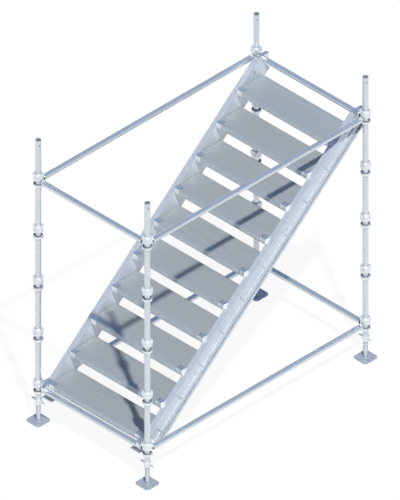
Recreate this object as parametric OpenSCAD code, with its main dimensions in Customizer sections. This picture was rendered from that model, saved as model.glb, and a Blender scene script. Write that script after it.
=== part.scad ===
// Aluminium stair unit hooked into one bay of a galvanised cup-lock scaffold.
// The origin is on the ground at the middle of the bay, and the stair climbs towards +Y.

/* [Bay] */
// Spacing of the standards across the stair
bay_width = 1219; // [1150:1:1600]
// Spacing of the standards along the stair
bay_length = 2438; // [2000:1:3000]
// Spacing of the cups up a standard
cup_pitch = 500; // [400:1:600]
// Height of the lowest ledger's axis over the ground
low_ledger_z = 325; // [300:1:450]
// Length of a standard below its lowest cup
standard_tail = 107; // [90:1:150]
// Length of a standard above its highest cup
standard_head = 393; // [250:1:500]

/* [Tubes] */
// Outer diameter of the scaffold tube
tube_d = 48.3; // [42:0.1:60]
// Wall of the scaffold tube
tube_wall = 3.2; // [2.5:0.1:4.5]
// Depth of the socket at the top of a standard
socket_depth = 150; // [100:1:200]
// Inner diameter of the stop ring below the socket
stop_ring_d = 30; // [20:1:34]
// Diameter of the locking pin holes
pin_hole_d = 13; // [8:0.5:16]
// Distance of the pin holes from the top of the standard
pin_hole_drop = 45; // [30:1:70]
// Turn of the pin holes from the X axis
pin_hole_turn = -23; // [-90:1:90]

/* [Cups] */
// Outer radius of the welded lower cup
cup_r = 41; // [38:0.5:46]
// Wall of both cups
cup_wall = 5.5; // [4:0.5:7]
// Drop of the lower cup's rim below the ledger axis
cup_rim_drop = 26; // [18:0.5:28]
// Height of the lower cup
cup_h = 28; // [24:0.5:34]
// Height of the locking cup's bottom rim over the ledger axis
lock_lift = 18; // [15:0.5:24]
// Height of the locking cup
lock_h = 57; // [50:0.5:70]

/* [Ledgers] */
// Distance of the ledger tube's end from the standard's axis
ledger_setback = 56; // [50:1:70]
// Thickness of the forged blade
blade_t = 12; // [8:0.5:14]
// Length of the blade's upper toe over the ledger axis
upper_toe = 37; // [32:0.5:38]
// Length of the blade's lower toe under the ledger axis
lower_toe = 43; // [38:0.5:44]
// Half height of the blade between the cups
blade_neck = 14; // [11:0.5:17]

/* [Stair] */
// Number of treads
tread_count = 10; // [10:1:10]
// Height of the first tread over the lowest ledger's axis
first_tread_lift = 75; // [60:1:90]
// Drop of the last tread below the highest ledger's axis
last_tread_drop = 125; // [110:1:140]
// Setback of the first nosing from the front ledger's axis
first_nosing_in = 19; // [10:1:30]
// Setback of the last nosing from the back ledger's axis
last_nosing_in = 322; // [310:1:334]
// Distance of a stringer's inner face from the standards' axes
stringer_in = 101.5; // [90:0.5:120]
// Width of a stringer's section
stringer_w = 53; // [46:0.5:54]
// Depth of a stringer's section
stringer_h = 186; // [180:1:200]
// Wall of a stringer's section
stringer_wall = 3; // [2.5:0.5:4]
// Depth of the recess in a stringer's outer face
recess = 12; // [9:0.5:14]
// Height of the lips over and under the recess
stringer_lip = 20; // [12:1:25]
// Distance of a stringer's upper face below the line of the nosings
stringer_drop = 35; // [25:1:40]
// Start of a stringer past the first nosing, along the slope
stringer_start = 41; // [30:1:60]
// Distance of the outer rib from the stringer's upper face
rib_from_top = 105; // [90:1:115]
// Height of the outer rib
rib_h = 23; // [16:1:30]
// Depth of the outer rib
rib_out = 8; // [6:0.5:9]
// Width of the bar across the recess at each tread
bar_w = 8; // [5:1:12]

/* [Treads] */
// Depth of a tread from nosing to back
tread_depth = 288; // [270:1:295]
// Height of a tread's section
tread_h = 50; // [44:1:54]
// Skin of a tread's section
tread_skin = 3.5; // [2.5:0.5:5]
// Gap between a tread's end and the stringer
tread_end_gap = 8; // [5.5:0.5:9]
// Depth of the nose part of a tread
nose_depth = 52; // [45:1:60]
// Length of an end cap along the nosing
cap_len = 50; // [40:1:60]
// Gap between the nose and its end cap
cap_gap = 8; // [2:0.5:12]
// Thickness of the cleats
cleat_t = 4; // [3:0.5:4.5]
// Width of a cleat's level leg
cleat_leg = 48; // [36:1:60]

/* [Hooks] */
// Height of a top hook over the back ledger's axis
top_hook_lift = 48; // [36:1:60]
// Reach of a top hook past the back ledger's axis
top_hook_reach = 44; // [38:1:55]
// Length of a top hook's shank inside the stringer
hook_shank = 165; // [120:1:200]
// Depth of a hook's shank
hook_shank_h = 64; // [50:1:64]
// Length of a foot hook's shank inside the stringer
foot_shank = 120; // [60:1:160]
// Thickness of the clamping jaw under the front ledger
jaw_t = 7; // [5:0.5:10]
// Length of the clamping jaw along the ledger
jaw_len = 107; // [80:1:120]

/* [Base jacks] */
// Wall of the screwed spindle
spindle_wall = 6; // [4:0.5:10]
// Length of the screwed spindle over its plate
spindle_len = 600; // [500:1:750]
// Side of the base plate
plate_w = 150; // [120:1:180]
// Thickness of the base plate
plate_t = 8; // [5:0.5:12]
// Corner radius of the base plate
plate_r = 30; // [5:1:40]
// Diameter of the nail holes in the base plate
nail_hole_d = 13; // [8:1:16]
// Distance of a nail hole from the plate's edges
nail_hole_in = 20; // [18:1:28]
// Height of the wing nut
nut_h = 50; // [36:1:56]
// Outer diameter of the wing nut's body
nut_d = 62; // [54:1:70]
// Span of the wing nut over its wings
nut_span = 150; // [120:1:180]

/* [Clearances] */
// Gap between pieces that seat on each other
seat = 0.2; // [0.1:0.05:0.4]
// Gap round the spindle inside the nut
nut_clear = 0.4; // [0.3:0.05:0.8]
// Gap round the spindle inside the standard
spindle_clear = 1.95; // [1:0.05:4]
// Gap round a tube inside the locking cup
lock_clear = 0.6; // [0.4:0.05:0.9]

/* [Hidden] */
$fn = 64;
LEDGERS = ["ledger_front_low", "ledger_front_top", "ledger_back_low", "ledger_back_top",
  "ledger_left_low", "ledger_left_top", "ledger_right_low", "ledger_right_top"];
CORNERS = ["front_right", "front_left", "back_right", "back_left"];
TREADS = ["tread_01", "tread_02", "tread_03", "tread_04", "tread_05",
  "tread_06", "tread_07", "tread_08", "tread_09", "tread_10"];

// Colours
steel = "#c9d1d6";
bright = "#dfe5e8";
alloy = "#b9c3cc";
tread_colour = "#9fa7aa";

// Bay
level_count = 5;
half_x = bay_width / 2;
half_y = bay_length / 2;
tube_r = tube_d / 2;
bore_r = tube_r - tube_wall;
spindle_d = 2 * (bore_r - spindle_clear);
top_ledger_z = low_ledger_z + (level_count - 1) * cup_pitch;
standard_bottom = low_ledger_z - standard_tail;
standard_top = top_ledger_z + standard_head;

// Slope
first_y = -half_y + first_nosing_in;
first_z = low_ledger_z + first_tread_lift;
going = (bay_length - first_nosing_in - last_nosing_in) / (tread_count - 1);
rise = (top_ledger_z - last_tread_drop - first_z) / (tread_count - 1);
slope = atan2(rise, going);
slope_pitch = going / cos(slope);

// Stringers
web_x = half_x - stringer_in;
stringer_top = -stringer_drop;
back_along = (half_y - first_y) * cos(slope) + (top_ledger_z - first_z) * sin(slope);
stringer_end = back_along - tube_r - seat;
channel_in = web_x + stringer_wall + seat;
channel_out = web_x + stringer_w - recess - stringer_wall - seat;
shank_top = stringer_top - stringer_wall - seat;

// A point of the slope's frame, as [y, z] in the bay's frame
function on_line(s, t) = [first_y + s * cos(slope) - t * sin(slope),
  first_z + s * sin(slope) + t * cos(slope)];
function side_x(corner) = (corner % 2 == 0) ? half_x : -half_x;
function side_y(corner) = (corner < 2) ? -half_y : half_y;
function level_z(level) = low_ledger_z + level * cup_pitch;

module at_corner(corner) {
  translate([side_x(corner), side_y(corner), 0]) children();
}

module on_side(right) {
  mirror([right ? 0 : 1, 0, 0]) children();
}

module on_slope() {
  translate([0, first_y, first_z]) rotate([slope, 0, 0]) children();
}

// Extrudes a [y, z] outline from x0 to x1
module across(x0, x1) {
  translate([x0, 0, 0]) rotate([90, 0, 90]) linear_extrude(x1 - x0) children();
}

module standard(corner) {
  color(bright) at_corner(corner) difference() {
    translate([0, 0, standard_bottom]) cylinder(h = standard_top - standard_bottom, r = tube_r);
    translate([0, 0, standard_top - socket_depth]) cylinder(h = socket_depth + 1, r = bore_r);
    translate([0, 0, standard_top - socket_depth - 9]) cylinder(h = 20, d = stop_ring_d);
    translate([0, 0, standard_bottom - 1])
      cylinder(h = standard_top - standard_bottom - socket_depth - 7, r = bore_r);
    for (turn = [0, 90])
      translate([0, 0, standard_top - pin_hole_drop]) rotate([0, 90, pin_hole_turn + turn])
        cylinder(h = tube_d + 4, d = pin_hole_d, center = true);
  }
}

module lower_cup() {
  low = -cup_rim_drop - cup_h;
  inner = cup_r - cup_wall;
  fit = tube_r + 0.1;
  rotate_extrude() polygon([[fit, low], [cup_r - 12, low], [cup_r, low + 10],
    [cup_r, -cup_rim_drop], [inner, -cup_rim_drop], [inner, low + 9], [inner - 4, low + 5],
    [fit, low + 5]]);
}

module lower_cups(corner) {
  color(steel) at_corner(corner) for (level = [0 : level_count - 1])
    translate([0, 0, level_z(level)]) lower_cup();
}

module locking_cup() {
  bottom = lock_lift;
  top = lock_lift + lock_h;
  inner = cup_r - cup_wall + 0.5;
  fit = tube_r + lock_clear;
  rotate_extrude() polygon([[inner, bottom], [cup_r + 1, bottom], [cup_r + 1, bottom + 20],
    [cup_r - 5, bottom + 34], [cup_r - 9, top], [fit, top], [fit, bottom + 32],
    [inner, bottom + 24]]);
  for (turn = [45 : 90 : 315]) rotate(turn)
    translate([0, 0, bottom + 22]) difference() {
      translate([cup_r - 10, -8, 0]) cube([14, 16, 40]);
      translate([cup_r + 4, -9, 30]) rotate([0, -35, 0]) translate([-5, 0, 0]) cube([20, 18, 40]);
      translate([cup_r + 2, -9, -4]) rotate([0, 30, 0]) cube([20, 18, 16]);
    }
}

module locking_cups(corner) {
  color(bright) at_corner(corner) for (level = [0 : level_count - 1])
    translate([0, 0, level_z(level)]) locking_cup();
}

// A blade's outline, out from the standard's axis and up from the ledger's
module blade_outline() {
  face = tube_r + 0.3;
  toe_out = cup_r - cup_wall - 1;
  neck = blade_neck;
  root = bore_r + 0.5;
  polygon([[face, -lower_toe], [toe_out - 3, -lower_toe], [toe_out, -lower_toe + 8],
    [toe_out, -neck], [ledger_setback - 9, -neck], [ledger_setback - 2, -root],
    [ledger_setback + 25, -root], [ledger_setback + 25, root], [ledger_setback - 2, root],
    [ledger_setback - 9, neck], [toe_out, neck], [toe_out, upper_toe - 8],
    [toe_out - 3, upper_toe], [face, upper_toe]]);
}

module blade() {
  translate([0, blade_t / 2, 0]) rotate([90, 0, 0]) linear_extrude(blade_t) blade_outline();
}

// A ledger along X, centred on the origin
module ledger(spacing) {
  tube_len = spacing - 2 * ledger_setback;
  rotate([0, 90, 0]) difference() {
    cylinder(h = tube_len, r = tube_r, center = true);
    cylinder(h = tube_len + 2, r = bore_r, center = true);
  }
  for (end = [0, 180]) rotate(end) translate([-spacing / 2, 0, 0]) blade();
}

module ledger_across(y, z) {
  color(steel) translate([0, y, z]) ledger(bay_width);
}

module ledger_along(x, z) {
  color(steel) translate([x, 0, z]) rotate(90) ledger(bay_length);
}

// The stringer's section, out from its inner face and up from the nosings' line
module stringer_section() {
  low = stringer_top - stringer_h;
  rib_low = stringer_top - rib_from_top - rib_h;
  w = stringer_wall;
  outer = stringer_w - recess;
  for (x = [0, outer - w]) translate([x, low]) square([w, stringer_h]);
  for (z = [low, stringer_top - w]) translate([0, z]) square([stringer_w, w]);
  for (z = [low, stringer_top - stringer_lip])
    translate([stringer_w - w, z]) square([w, stringer_lip]);
  difference() {
    translate([outer - w, rib_low]) square([w + rib_out, rib_h]);
    translate([outer - w - 1, rib_low + w]) square([w + rib_out - w + 1, rib_h - 2 * w]);
  }
}

module stringer(right) {
  bar_low = stringer_top - rib_from_top - rib_h;
  bar_high = stringer_top - stringer_lip - 14;
  color(alloy) on_side(right) on_slope() {
    translate([web_x, stringer_end, 0]) rotate([90, 0, 0])
      linear_extrude(stringer_end - stringer_start) stringer_section();
    for (k = [0 : tread_count - 1])
      translate([web_x + stringer_w - recess - 1, k * slope_pitch + 124, bar_low])
        cube([rib_out + 2, bar_w, bar_high - bar_low]);
  }
}

function tread_y(k) = first_y + k * going;
function tread_z(k) = first_z + k * rise;

module nose_outline() {
  r = 7;
  difference() {
    union() {
      translate([r, -r]) circle(r);
      translate([r, -tread_h]) square([nose_depth - r + tread_skin, tread_h]);
      translate([0, -tread_h]) square([r + 1, tread_h - r]);
    }
    translate([tread_skin, -tread_h + tread_skin])
      square([nose_depth - tread_skin, tread_h - 2 * tread_skin - 1]);
    translate([14, -tread_h - 1]) square([nose_depth - 14, tread_skin + 2]);
  }
}

module body_outline() {
  rib_low = -tread_h + tread_skin;
  translate([nose_depth, -tread_skin]) square([tread_depth - nose_depth, tread_skin]);
  for (y = [nose_depth, (nose_depth + tread_depth) / 2])
    translate([y, rib_low]) square([tread_skin, -rib_low]);
  translate([tread_depth - tread_skin, -tread_h]) square([tread_skin, tread_h]);
}

module tread(k) {
  body_x = web_x - tread_end_gap;
  nose_x = web_x - seat - cap_len - cap_gap;
  color(tread_colour) translate([0, tread_y(k), tread_z(k)]) {
    across(-body_x, body_x) body_outline();
    across(-nose_x, nose_x) nose_outline();
  }
}

module tread_cap() {
  x0 = web_x - seat - cap_len;
  difference() {
    across(x0, web_x - seat) union() {
      translate([7, -7]) circle(7);
      translate([7, -tread_h]) square([nose_depth - 7 - seat, tread_h]);
      translate([0, -tread_h]) square([8, tread_h - 7]);
    }
    translate([x0 + 5, 5, -tread_h - 1]) cube([cap_len - 10, nose_depth - 10, tread_h - 4]);
  }
}

module tread_caps(right) {
  color(bright) on_side(right) for (k = [0 : tread_count - 1])
    translate([0, tread_y(k), tread_z(k)]) tread_cap();
}

// An angle that carries a tread's ribs, fixed to the stringer's inner face
module cleat() {
  under = -tread_h + tread_skin - seat;
  y0 = nose_depth + 4;
  y1 = tread_depth - tread_skin - 12;
  x1 = web_x - seat;
  translate([x1 - cleat_leg, y0, under - cleat_t]) cube([cleat_leg, y1 - y0, cleat_t]);
  translate([x1 - cleat_t, y0, under - cleat_t]) cube([cleat_t, y1 - y0, 38]);
}

module tread_cleats(right) {
  color(alloy) on_side(right) for (k = [0 : tread_count - 1])
    translate([0, tread_y(k), tread_z(k)]) cleat();
}

module top_hook(right) {
  y = half_y;
  z = top_ledger_z;
  r = tube_r + seat;
  neck = on_line(stringer_end + 6, shank_top);
  high = max(neck[1], z + top_hook_lift);
  color(alloy) on_side(right) across(channel_in, channel_out) difference() {
    polygon([on_line(stringer_end - hook_shank, shank_top), neck,
      [neck[0], high], [y + top_hook_reach, high],
      [y + top_hook_reach, z - 18], [y - 24, z - 18],
      on_line(stringer_end - 14, shank_top - hook_shank_h),
      on_line(stringer_end - hook_shank, shank_top - hook_shank_h)]);
    translate([y, z]) circle(r);
    translate([y - r, z - 100]) square([2 * r, 100]);
  }
}

module foot_hook(right) {
  y = -half_y;
  z = low_ledger_z;
  r = tube_r + seat;
  low = z - 50;
  heel = on_line(stringer_start - 1, stringer_top);
  color(alloy) on_side(right) {
    across(channel_in, channel_out) difference() {
      polygon([on_line(stringer_start + foot_shank, shank_top),
        on_line(stringer_start - 1, shank_top), heel, [y + 6, heel[1]],
        [y - 28, z + 42], [y - 28, z + 8], [y, low], [y + 110, low],
        on_line(stringer_start - 2, shank_top - hook_shank_h),
        on_line(stringer_start + foot_shank, shank_top - hook_shank_h)]);
      translate([y, z]) circle(r);
      translate([y - 60, z - 60]) square([60 + r, 60]);
      translate([y - 60, z - 60]) square([60, 68]);
    }
    translate([channel_out - jaw_len, y - 24, low - jaw_t - seat]) cube([jaw_len, 96, jaw_t]);
  }
}

module base_plate_outline() {
  inner = plate_w - 2 * plate_r;
  square([plate_w, inner], center = true);
  square([inner, plate_w], center = true);
  for (x = [-inner / 2, inner / 2], y = [-inner / 2, inner / 2]) translate([x, y]) circle(plate_r);
}

module base_plate(corner) {
  reach = plate_w / 2 - nail_hole_in;
  color(steel) at_corner(corner) difference() {
    linear_extrude(plate_t) base_plate_outline();
    for (x = [-reach, reach], y = [-reach, reach])
      translate([x, y, -1]) cylinder(h = plate_t + 2, d = nail_hole_d);
  }
}

module jack_screw(corner) {
  color(steel) at_corner(corner) translate([0, 0, plate_t]) difference() {
    cylinder(h = spindle_len, d = spindle_d);
    translate([0, 0, 4]) cylinder(h = spindle_len, d = spindle_d - 2 * spindle_wall);
  }
}

module jack_nut(corner) {
  top = standard_bottom - seat;
  color(bright) at_corner(corner) difference() {
    union() {
      translate([0, 0, top - nut_h]) cylinder(h = nut_h - 12, d = nut_d - 8);
      translate([0, 0, top - 14]) cylinder(h = 14, d = nut_d);
      for (turn = [0, 180]) rotate(turn) translate([20, 0, top - nut_h / 2]) rotate([0, 90, 0]) {
        cylinder(h = nut_span / 2 - 28, r1 = 13, r2 = 8);
        translate([0, 0, nut_span / 2 - 28]) sphere(8);
      }
    }
    translate([0, 0, top - nut_h - 1]) cylinder(h = nut_h + 2, d = spindle_d + 2 * nut_clear);
  }
}

for (c = [0 : 3]) {
  standard(c);
  lower_cups(c);
  locking_cups(c);
  base_plate(c);
  jack_screw(c);
  jack_nut(c);
}
for (k = [0 : tread_count - 1]) tread(k);
ledger_across(-half_y, low_ledger_z);  // ledger_front_low
ledger_across(-half_y, top_ledger_z);  // ledger_front_top
ledger_across(half_y, low_ledger_z);  // ledger_back_low
ledger_across(half_y, top_ledger_z);  // ledger_back_top
ledger_along(-half_x, low_ledger_z);  // ledger_left_low
ledger_along(-half_x, top_ledger_z);  // ledger_left_top
ledger_along(half_x, low_ledger_z);  // ledger_right_low
ledger_along(half_x, top_ledger_z);  // ledger_right_top
stringer(false);  // stringer_left
stringer(true);  // stringer_right
tread_caps(false);  // tread_caps_left
tread_caps(true);  // tread_caps_right
tread_cleats(false);  // tread_cleats_left
tread_cleats(true);  // tread_cleats_right
top_hook(false);  // top_hook_left
top_hook(true);  // top_hook_right
foot_hook(false);  // foot_hook_left
foot_hook(true);  // foot_hook_right
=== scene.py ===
"""Aluminium stair unit in a cup-lock scaffold bay: finishes, threads, bolts and stage."""
import math

import bmesh
import bpy
from bpy.props import FloatProperty, FloatVectorProperty, IntProperty, PointerProperty
from mathutils import Matrix, Vector


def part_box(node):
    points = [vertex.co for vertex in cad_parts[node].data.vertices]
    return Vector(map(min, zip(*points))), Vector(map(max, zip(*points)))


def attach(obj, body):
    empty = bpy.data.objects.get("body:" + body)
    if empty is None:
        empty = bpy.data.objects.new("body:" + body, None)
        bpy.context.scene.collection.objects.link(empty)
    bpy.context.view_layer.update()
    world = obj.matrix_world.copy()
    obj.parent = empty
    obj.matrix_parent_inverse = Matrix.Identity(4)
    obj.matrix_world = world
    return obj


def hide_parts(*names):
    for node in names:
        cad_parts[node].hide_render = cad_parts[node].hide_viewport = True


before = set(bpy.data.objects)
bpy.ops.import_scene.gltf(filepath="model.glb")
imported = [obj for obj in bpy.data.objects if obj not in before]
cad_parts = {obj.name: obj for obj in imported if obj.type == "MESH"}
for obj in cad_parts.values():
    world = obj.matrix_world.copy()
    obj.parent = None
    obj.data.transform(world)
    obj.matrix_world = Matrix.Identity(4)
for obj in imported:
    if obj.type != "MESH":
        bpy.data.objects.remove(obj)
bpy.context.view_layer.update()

bl_info = {
    "name": "Scaffold stair unit",
    "version": (1, 0, 0),
    "blender": (4, 5, 0),
    "location": "3D View > Sidebar > Stair unit",
    "description": "Finishes, threads, bolts and stage of an aluminium scaffold stair unit",
    "category": "Object",
}

CORNERS = ("front_right", "front_left", "back_right", "back_left")
SIDES = ("left", "right")
LEVELS = ("low", "top")
TREADS = [f"tread_{k:02d}" for k in range(1, 11)]


def linear(code):
    """Turns an sRGB hex colour into the linear colour that shaders take."""
    parts = [int(code[i:i + 2], 16) / 255 for i in (0, 2, 4)]
    return tuple(c / 12.92 if c <= 0.04045 else ((c + 0.055) / 1.055) ** 2.4 for c in parts)


class StairSizes(bpy.types.PropertyGroup):
    """Sizes of the pieces that are added to the CAD model."""

    thread_pitch: FloatProperty(
        name="Thread pitch", description="Pitch of the screw of a base jack",
        default=0.008, min=0.004, max=0.012, unit="LENGTH", precision=4)
    thread_depth: FloatProperty(
        name="Thread depth", description="Depth of the screw's groove",
        default=0.0024, min=0.001, max=0.004, unit="LENGTH", precision=4)
    bolt_width: FloatProperty(
        name="Bolt width", description="Width of a bolt's head across its flats",
        default=0.019, min=0.01, max=0.03, unit="LENGTH", precision=4)
    bolt_height: FloatProperty(
        name="Bolt height", description="Height of a bolt's head",
        default=0.007, min=0.004, max=0.012, unit="LENGTH", precision=4)
    weld_radius: FloatProperty(
        name="Weld bead", description="Radius of a weld bead",
        default=0.003, min=0.001, max=0.006, unit="LENGTH", precision=4)
    round_steps: IntProperty(
        name="Steps round", description="Steps round a spun shape", default=40, min=12, max=96)


class StairColours(bpy.types.PropertyGroup):
    """Colours of the finishes."""

    tube_light: FloatVectorProperty(
        name="Galvanised light", description="Light crystals of the zinc on the tubes",
        subtype="COLOR", default=linear("DDE3E6"), min=0, max=1)
    tube_dark: FloatVectorProperty(
        name="Galvanised dark", description="Dark crystals of the zinc on the tubes",
        subtype="COLOR", default=linear("CED6DC"), min=0, max=1)
    casting_light: FloatVectorProperty(
        name="Casting light", description="Light part of the galvanised castings",
        subtype="COLOR", default=linear("F0F3F4"), min=0, max=1)
    casting_dark: FloatVectorProperty(
        name="Casting dark", description="Dark part of the galvanised castings",
        subtype="COLOR", default=linear("DCE2E6"), min=0, max=1)
    plate: FloatVectorProperty(
        name="Plate", description="Zinc on the base plates",
        subtype="COLOR", default=linear("C6CDD6"), min=0, max=1)
    extrusion: FloatVectorProperty(
        name="Extrusion", description="Mill finish of the stringers",
        subtype="COLOR", default=linear("D6DDE2"), min=0, max=1)
    tread: FloatVectorProperty(
        name="Tread", description="Matt aluminium of the treads",
        subtype="COLOR", default=linear("BDC3C6"), min=0, max=1)


class StairSettings(bpy.types.PropertyGroup):
    """Settings of the whole unit."""

    sizes: PointerProperty(type=StairSizes)
    colours: PointerProperty(type=StairColours)


def sizes():
    return bpy.context.scene.stair_unit.sizes


def colours():
    return bpy.context.scene.stair_unit.colours


def add_node(tree, kind, links=None, **settings):
    """Adds a node, sets its settings and inputs, and links its inputs."""
    node = tree.nodes.new(kind)
    for name, value in settings.items():
        if name.startswith("in_"):
            key = name[3:]
            node.inputs[int(key) if key.isdigit() else key.replace("_", " ")].default_value = value
        else:
            setattr(node, name, value)
    for key, source in (links or {}).items():
        tree.links.new(source, node.inputs[key])
    return node


def new_material(name):
    material = bpy.data.materials.get(name)
    if material:
        return material, None, None
    material = bpy.data.materials.new(name)
    material.use_nodes = True
    tree = material.node_tree
    shader = tree.nodes["Principled BSDF"]
    return material, tree, shader


def blotched_metal(name, light, dark, crystal, metallic, rough, bump, streak=None):
    """A metal whose colour and gloss change from patch to patch, with fine grain in its surface."""
    material, tree, shader = new_material(name)
    if tree is None:
        return material
    place = add_node(tree, "ShaderNodeTexCoord").outputs["Object"]
    if streak:
        place = add_node(tree, "ShaderNodeMapping", {"Vector": place}, in_Scale=streak).outputs[0]
    cells = add_node(tree, "ShaderNodeTexVoronoi", {"Vector": place}, in_Scale=1 / crystal,
                     in_Randomness=1.0)
    clouds = add_node(tree, "ShaderNodeTexNoise", {"Vector": place}, in_Scale=0.25 / crystal,
                      in_Detail=3.0, in_Roughness=0.6)
    grain = add_node(tree, "ShaderNodeTexNoise", {"Vector": place}, in_Scale=1.5 / crystal,
                     in_Detail=1.0)
    tone = add_node(tree, "ShaderNodeSeparateColor", {"Color": cells.outputs["Color"]})
    both = add_node(tree, "ShaderNodeMath", {0: tone.outputs[0], 1: clouds.outputs["Fac"]},
                    operation="MULTIPLY")
    fade = add_node(tree, "ShaderNodeMapRange", {"Value": both.outputs[0]}, in_1=0.0, in_2=0.8)
    mix = add_node(tree, "ShaderNodeMix", {"Factor": fade.outputs[0]}, data_type="RGBA")
    mix.inputs[6].default_value = (*light, 1)
    mix.inputs[7].default_value = (*dark, 1)
    shine = add_node(tree, "ShaderNodeMapRange", {"Value": both.outputs[0]}, in_1=0.0, in_2=0.6,
                     in_3=rough - 0.02, in_4=rough + 0.04)
    relief = add_node(tree, "ShaderNodeBump", {"Height": grain.outputs["Fac"]},
                      in_Strength=bump, in_Distance=0.0002)
    tree.links.new(mix.outputs[2], shader.inputs["Base Color"])
    tree.links.new(shine.outputs[0], shader.inputs["Roughness"])
    tree.links.new(relief.outputs[0], shader.inputs["Normal"])
    shader.inputs["Metallic"].default_value = metallic
    return material


def galvanised_tube():
    # Hot-dip zinc on drawn tube: a clean sheen with faint crystals, drawn 14 mm wide so that
    # they show
    c = colours()
    return blotched_metal("hot_dip_galvanised_tube", c.tube_light, c.tube_dark, 0.014,
                          0.72, 0.3, 0.002)


def galvanised_casting():
    # Zinc on cast iron: rougher than the tube, paler, with a sandy grain
    c = colours()
    return blotched_metal("hot_dip_galvanised_casting", c.casting_light, c.casting_dark, 0.008,
                          0.55, 0.34, 0.01)


def galvanised_plate():
    # Zinc on rolled plate: duller, with larger crystals and rubbed patches
    c = colours()
    return blotched_metal("hot_dip_galvanised_plate", c.plate, linear("B4BCC6"), 0.018,
                          0.4, 0.38, 0.03)


def galvanised_screw():
    # Zinc on a rolled thread: bright on the crests from the nut's rubbing
    c = colours()
    return blotched_metal("galvanised_rolled_thread", c.tube_light, c.tube_dark, 0.01,
                          0.65, 0.3, 0.03)


def zinc_bolt():
    # Bright zinc on a steel bolt: small, clean and shiny
    return blotched_metal("bright_zinc_bolt", linear("D2D8DC"), linear("B5BEC4"), 0.01,
                          0.85, 0.25, 0.02)


def mill_extrusion():
    # Extruded aluminium: a soft sheen that changes faintly over patches 60 mm wide
    c = colours()
    return blotched_metal("mill_finish_extrusion", c.extrusion, linear("CDD5DB"), 0.06,
                          0.3, 0.38, 0.002)


def cast_aluminium():
    # Sand-cast aluminium: pale and softly rough
    return blotched_metal("cast_aluminium", linear("E4EBF0"), linear("D6DEE4"), 0.006,
                          0.35, 0.36, 0.01)


def tread_finish():
    # Extruded tread with a fine matt top: faint lines along its length, drawn 20 mm wide so that
    # they show
    c = colours()
    return blotched_metal("matt_tread_extrusion", c.tread, linear("B4BABD"), 0.02,
                          0.3, 0.36, 0.004, streak=(0.03, 1.0, 1.0))


def nosing_finish():
    # Bare edge of the tread, polished by boots
    return blotched_metal("worn_nosing_edge", linear("D9DFE2"), linear("C6CDD1"), 0.02,
                          0.3, 0.35, 0.004)


def dress(node, material):
    """Gives a CAD node its finish."""
    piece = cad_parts[node]
    if not piece.data.materials:
        piece.data.materials.append(material)
    for place in piece.material_slots:
        place.material = material


def make_piece(name, mesh, body, material, replaced=()):
    """Turns a bmesh into an object that rides on a body."""
    bmesh.ops.remove_doubles(mesh, verts=mesh.verts, dist=1e-6)
    bmesh.ops.recalc_face_normals(mesh, faces=mesh.faces)
    data = bpy.data.meshes.new(name)
    mesh.to_mesh(data)
    mesh.free()
    piece = bpy.data.objects.new(name, data)
    bpy.context.scene.collection.objects.link(piece)
    data.materials.append(material)
    for face in data.polygons:
        face.use_smooth = True
    data.set_sharp_from_angle(angle=math.radians(35))
    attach(piece, body)
    if replaced:
        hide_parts(*replaced)
    return piece


def middle(node):
    low, high = (Vector(p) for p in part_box(node))
    return (low + high) / 2


def ring(mesh, centre, axis, radius, bead, steps):
    """Adds a round bead of weld, a ring round axis through centre."""
    turn = Vector(axis).to_track_quat("Z", "Y").to_matrix().to_4x4()
    made = bmesh.ops.create_circle(mesh, segments=8, radius=bead)["verts"]
    bmesh.ops.rotate(mesh, verts=made, cent=(0, 0, 0), matrix=Matrix.Rotation(math.pi / 2, 3, "X"))
    bmesh.ops.translate(mesh, verts=made, vec=(radius, 0, 0))
    edges = list({e for v in made for e in v.link_edges})
    before = set(mesh.verts) - set(made)
    bmesh.ops.spin(mesh, geom=made + edges, cent=(0, 0, 0), axis=(0, 0, 1), angle=math.tau,
                   steps=steps, use_merge=True)
    new = [v for v in mesh.verts if v not in before]
    bmesh.ops.transform(mesh, matrix=Matrix.Translation(centre) @ turn, verts=new)


def hex_bolt(mesh, seat, axis, turn=0.0):
    """Adds a washer and a hexagon head with rounded corners, standing on seat along axis."""
    width, height = sizes().bolt_width, sizes().bolt_height
    place = (Matrix.Translation(seat) @ Vector(axis).to_track_quat("Z", "Y").to_matrix().to_4x4()
             @ Matrix.Rotation(turn, 4, "Z"))
    bmesh.ops.create_cone(mesh, cap_ends=True, segments=24, radius1=width * 0.62,
                          radius2=width * 0.6, depth=0.002,
                          matrix=place @ Matrix.Translation((0, 0, 0.001)))
    head = bmesh.ops.create_cone(mesh, cap_ends=True, segments=6, radius1=width * 0.577,
                                 radius2=width * 0.577, depth=height,
                                 matrix=place @ Matrix.Translation((0, 0, 0.002 + height / 2)))
    top = [e for e in {e for v in head["verts"] for e in v.link_edges}
           if all((place.inverted() @ v.co).z > height for v in e.verts)]
    bmesh.ops.bevel(mesh, geom=top, offset=0.0012, affect="EDGES", segments=2, profile=0.5,
                    material=-1)


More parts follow.
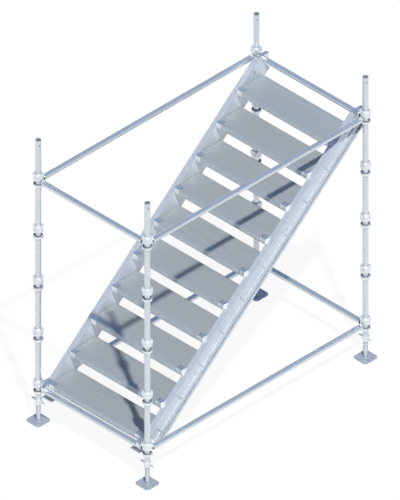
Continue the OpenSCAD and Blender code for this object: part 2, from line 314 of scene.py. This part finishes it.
class STAIR_OT_jack_screws(bpy.types.Operator):
    """Cut the round thread into the four spindles."""

    bl_idname = "stair_unit.jack_screws"
    bl_label = "Jack screws"

    def execute(self, context):
        s = sizes()
        finish = galvanised_screw()
        for corner in CORNERS:
            node = f"jack_screw_{corner}"
            low, high = (Vector(p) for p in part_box(node))
            radius = (high.x - low.x) / 2
            centre = ((low.x + high.x) / 2, (low.y + high.y) / 2, 0)
            pitch, steps = s.thread_pitch, 24
            turns = int((high.z - low.z - 0.012) / pitch)
            mesh = bmesh.new()
            outline = ((1.0, 0.0), (1.0, 0.28), (0.0, 0.45), (0.0, 0.83), (1.0, 1.0))
            verts = [mesh.verts.new((radius - s.thread_depth * (1 - out), 0, low.z + 0.004
                                     + along * pitch)) for out, along in outline]
            edges = [mesh.edges.new(pair) for pair in zip(verts, verts[1:])]
            bmesh.ops.spin(mesh, geom=verts + edges, cent=(0, 0, 0), axis=(0, 0, 1),
                           dvec=(0, 0, pitch / steps), angle=math.tau * turns,
                           steps=steps * turns, use_merge=False)
            for z0, z1 in ((low.z, low.z + 0.0065), (high.z - 0.014, high.z)):
                bmesh.ops.create_cone(mesh, cap_ends=True, segments=48, radius1=radius,
                                      radius2=radius - 0.001, depth=z1 - z0,
                                      matrix=Matrix.Translation((0, 0, (z0 + z1) / 2)))
            bmesh.ops.translate(mesh, verts=mesh.verts, vec=centre)
            make_piece(f"thread_{corner}", mesh, f"jack_{corner}", finish,
                       (node,))
            mesh = bmesh.new()
            ring(mesh, (centre[0], centre[1], low.z), (0, 0, 1), radius + 0.001, s.weld_radius, 48)
            make_piece(f"foot_weld_{corner}", mesh, f"jack_{corner}", finish)
        return {"FINISHED"}


class STAIR_OT_welds(bpy.types.Operator):
    """Lay the weld beads under the lower cups and round the ends of the ledgers."""

    bl_idname = "stair_unit.welds"
    bl_label = "Welds"

    def execute(self, context):
        s = sizes()
        finish = galvanised_casting()
        for corner in CORNERS:
            low, high = (Vector(p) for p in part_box(f"standard_{corner}"))
            radius = (high.x - low.x) / 2
            first, last = (Vector(p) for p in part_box(f"lower_cups_{corner}"))
            cup = 0.028
            pitch = (last.z - first.z - cup) / 4
            mesh = bmesh.new()
            for level in range(5):
                for z in (first.z + level * pitch, first.z + level * pitch + 0.0065):
                    ring(mesh, ((low.x + high.x) / 2, (low.y + high.y) / 2, z), (0, 0, 1),
                         radius + 0.001, s.weld_radius, s.round_steps)
            make_piece(f"cup_welds_{corner}", mesh, "frame", finish)
        for side in ("front", "back", "left", "right"):
            for level in LEVELS:
                node = f"ledger_{side}_{level}"
                low, high = (Vector(p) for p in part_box(node))
                centre = (low + high) / 2
                along = 0 if high.x - low.x > high.y - low.y else 1
                radius = (high[1 - along] - low[1 - along]) / 2
                mesh = bmesh.new()
                for sign in (-1, 1):
                    end = centre.copy()
                    end.z = centre.z + 0.003
                    half = (high[along] - low[along]) / 2
                    end[along] += sign * (half - 0.0316)
                    axis = [0, 0, 0]
                    axis[along] = 1
                    ring(mesh, end, axis, radius - 0.0022, s.weld_radius, s.round_steps)
                make_piece(f"blade_welds_{side}_{level}", mesh, "frame", finish)
        return {"FINISHED"}


class STAIR_OT_bolts(bpy.types.Operator):
    """Bolt the cleats and the hooks to the stringers."""

    bl_idname = "stair_unit.bolts"
    bl_label = "Bolts"

    def execute(self, context):
        finish = zinc_bolt()
        for side, sign in (("left", -1), ("right", 1)):
            low, high = (Vector(p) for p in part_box(f"stringer_{side}"))
            web = low.x if sign > 0 else high.x
            mesh = bmesh.new()
            for index, tread in enumerate(TREADS):
                start, end = (Vector(p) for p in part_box(tread))
                for part in (0.36, 0.66):
                    seat = (web - sign * 0.0044, start.y + part * (end.y - start.y),
                            start.z + 0.017)
                    hex_bolt(mesh, seat, (-sign, 0, 0), 0.2 * index)
            for node, shift in ((f"top_hook_{side}", (-0.05, -0.028)),
                                (f"foot_hook_{side}", (0.07, 0.02))):
                centre = middle(node)
                hex_bolt(mesh, (web, centre.y + shift[0], centre.z + shift[1]), (-sign, 0, 0), 0.3)
            make_piece(f"bolts_{side}", mesh, "frame", finish)
        return {"FINISHED"}


class STAIR_OT_nosing_grip(bpy.types.Operator):
    """Run fine ribs along the front of each nosing."""

    bl_idname = "stair_unit.nosing_grip"
    bl_label = "Nosing grip"

    def execute(self, context):
        finish = nosing_finish()
        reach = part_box("tread_caps_right")[0][0] - 0.0085
        for tread in TREADS:
            low, high = (Vector(p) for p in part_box(tread))
            mesh = bmesh.new()
            for rib in range(5):
                made = bmesh.ops.create_circle(mesh, segments=8, radius=0.0014)["verts"]
                face = mesh.faces.new(made)
                grown = bmesh.ops.extrude_face_region(mesh, geom=[face])["geom"]
                tips = [v for v in grown if isinstance(v, bmesh.types.BMVert)]
                bmesh.ops.translate(mesh, verts=tips, vec=(0, 0, 2 * reach))
                rod = made + tips
                bmesh.ops.rotate(mesh, verts=rod, cent=(0, 0, 0),
                                 matrix=Matrix.Rotation(math.pi / 2, 3, "Y"))
                bmesh.ops.translate(mesh, verts=rod, vec=(-reach, low.y, high.z - 0.014
                                                         - rib * 0.007))
            make_piece(f"grip_{tread}", mesh, "frame", finish)
        return {"FINISHED"}


class STAIR_OT_scaffold_finish(bpy.types.Operator):
    """Give the standards, ledgers and cups their galvanised finish."""

    bl_idname = "stair_unit.scaffold_finish"
    bl_label = "Scaffold finish"

    def execute(self, context):
        tube, casting = galvanised_tube(), galvanised_casting()
        for corner in CORNERS:
            dress(f"standard_{corner}", tube)
            dress(f"lower_cups_{corner}", casting)
            dress(f"locking_cups_{corner}", casting)
            dress(f"jack_nut_{corner}", casting)
            dress(f"base_plate_{corner}", galvanised_plate())
        for side in ("front", "back", "left", "right"):
            for level in LEVELS:
                dress(f"ledger_{side}_{level}", tube)
        return {"FINISHED"}


class STAIR_OT_stair_finish(bpy.types.Operator):
    """Give the stringers, treads, caps, cleats and hooks their aluminium finish."""

    bl_idname = "stair_unit.stair_finish"
    bl_label = "Stair finish"

    def execute(self, context):
        extrusion, cast, matt = mill_extrusion(), cast_aluminium(), tread_finish()
        for side in SIDES:
            dress(f"stringer_{side}", extrusion)
            dress(f"tread_cleats_{side}", extrusion)
            dress(f"tread_caps_{side}", cast)
            dress(f"top_hook_{side}", cast)
            dress(f"foot_hook_{side}", cast)
        for tread in TREADS:
            dress(tread, matt)
        return {"FINISHED"}


class STAIR_OT_stage(bpy.types.Operator):
    """Set the floor, the lamps, the sky and the camera."""

    bl_idname = "stair_unit.stage"
    bl_label = "Stage"

    def execute(self, context):
        scene = context.scene
        mesh = bmesh.new()
        bmesh.ops.create_grid(mesh, x_segments=1, y_segments=1, size=30)
        bmesh.ops.translate(mesh, verts=mesh.verts, vec=(0, 0, -0.0005))
        data = bpy.data.meshes.new("studio_floor")
        mesh.to_mesh(data)
        mesh.free()
        floor = bpy.data.objects.new("studio_floor", data)
        scene.collection.objects.link(floor)
        material, tree, shader = new_material("studio_floor")
        shader.inputs["Base Color"].default_value = (0.9, 0.9, 0.9, 1)
        shader.inputs["Roughness"].default_value = 1.0
        path = add_node(tree, "ShaderNodeLightPath")
        glow = add_node(tree, "ShaderNodeEmission", in_Color=(1, 1, 1, 1), in_Strength=1.03)
        rays = add_node(tree, "ShaderNodeMath", {0: path.outputs["Is Camera Ray"],
                        1: path.outputs["Is Glossy Ray"]}, operation="MAXIMUM")
        seen = add_node(tree, "ShaderNodeMath", {0: rays.outputs[0]}, in_1=0.9,
                        operation="MULTIPLY")
        blend = add_node(tree, "ShaderNodeMixShader", {0: seen.outputs[0],
                         1: shader.outputs[0], 2: glow.outputs[0]})
        tree.links.new(blend.outputs[0], tree.nodes["Material Output"].inputs["Surface"])
        data.materials.append(material)

        world = bpy.data.worlds.new("studio_sky")
        world.use_nodes = True
        scene.world = world
        tree = world.node_tree
        sky = tree.nodes["Background"]
        sky.inputs["Color"].default_value = (0.16, 0.3, 0.62, 1)
        sky.inputs["Strength"].default_value = 0.42
        path = add_node(tree, "ShaderNodeLightPath")
        direction = add_node(tree, "ShaderNodeTexCoord").outputs["Generated"]
        height = add_node(tree, "ShaderNodeSeparateXYZ", {"Vector": direction})
        rise = add_node(tree, "ShaderNodeMapRange", {"Value": height.outputs["Z"]},
                        in_1=0.02, in_2=0.42)
        shade = add_node(tree, "ShaderNodeMix", {"Factor": rise.outputs[0]}, data_type="RGBA")
        shade.inputs[6].default_value = (0.95, 0.97, 1.0, 1)
        shade.inputs[7].default_value = (0.22, 0.32, 0.52, 1)
        gloss = add_node(tree, "ShaderNodeBackground", {"Color": shade.outputs[2]},
                         in_Strength=0.9)
        white = add_node(tree, "ShaderNodeBackground", in_Color=(1, 1, 1, 1), in_Strength=1.0)
        first = add_node(tree, "ShaderNodeMixShader", {0: path.outputs["Is Glossy Ray"],
                         1: sky.outputs[0], 2: gloss.outputs[0]})
        last = add_node(tree, "ShaderNodeMixShader", {0: path.outputs["Is Camera Ray"],
                        1: first.outputs[0], 2: white.outputs[0]})
        tree.links.new(last.outputs[0], tree.nodes["World Output"].inputs["Surface"])

        sun = bpy.data.lights.new("studio_sun", "SUN")
        sun.energy = 3.1
        sun.angle = math.radians(2)
        sun.color = (1.0, 0.97, 0.92)
        lamp = bpy.data.objects.new("studio_sun", sun)
        lamp.rotation_mode = "QUATERNION"
        lamp.rotation_quaternion = Vector((-0.56, 0.34, -1)).to_track_quat("-Z", "Y")
        scene.collection.objects.link(lamp)

        eye = bpy.data.cameras.new("view")
        eye.type = "ORTHO"
        eye.ortho_scale = 3.951
        eye.clip_end = 100
        camera = bpy.data.objects.new("view", eye)
        towards = Vector((1, -1, 1)).normalized()
        camera.location = Vector((-0.0106, -0.0106, 1.346)) + towards * 12
        camera.rotation_euler = towards.to_track_quat("Z", "Y").to_euler()
        scene.collection.objects.link(camera)
        scene.camera = camera
        scene.view_settings.view_transform = "Standard"
        return {"FINISHED"}


class STAIR_PT_unit(bpy.types.Panel):
    """Sizes, colours and pieces of the stair unit."""

    bl_idname = "STAIR_PT_unit"
    bl_label = "Stair unit"
    bl_space_type = "VIEW_3D"
    bl_region_type = "UI"
    bl_category = "Stair unit"

    def draw(self, context):
        settings = context.scene.stair_unit
        for group in (settings.sizes, settings.colours):
            for name in group.__annotations__:
                self.layout.prop(group, name)
        for step in STEPS:
            self.layout.operator(step.bl_idname)


STEPS = (STAIR_OT_stage, STAIR_OT_scaffold_finish, STAIR_OT_stair_finish, STAIR_OT_jack_screws,
         STAIR_OT_welds, STAIR_OT_bolts, STAIR_OT_nosing_grip)
CLASSES = (StairSizes, StairColours, StairSettings, *STEPS, STAIR_PT_unit)


def register():
    for cls in CLASSES:
        bpy.utils.register_class(cls)
    bpy.types.Scene.stair_unit = PointerProperty(type=StairSettings)


def unregister():
    del bpy.types.Scene.stair_unit
    for cls in reversed(CLASSES):
        bpy.utils.unregister_class(cls)


def main():
    register()
    for step in STEPS:
        group, name = step.bl_idname.split(".")
        getattr(getattr(bpy.ops, group), name)()


if __name__ == "__main__":
    main()
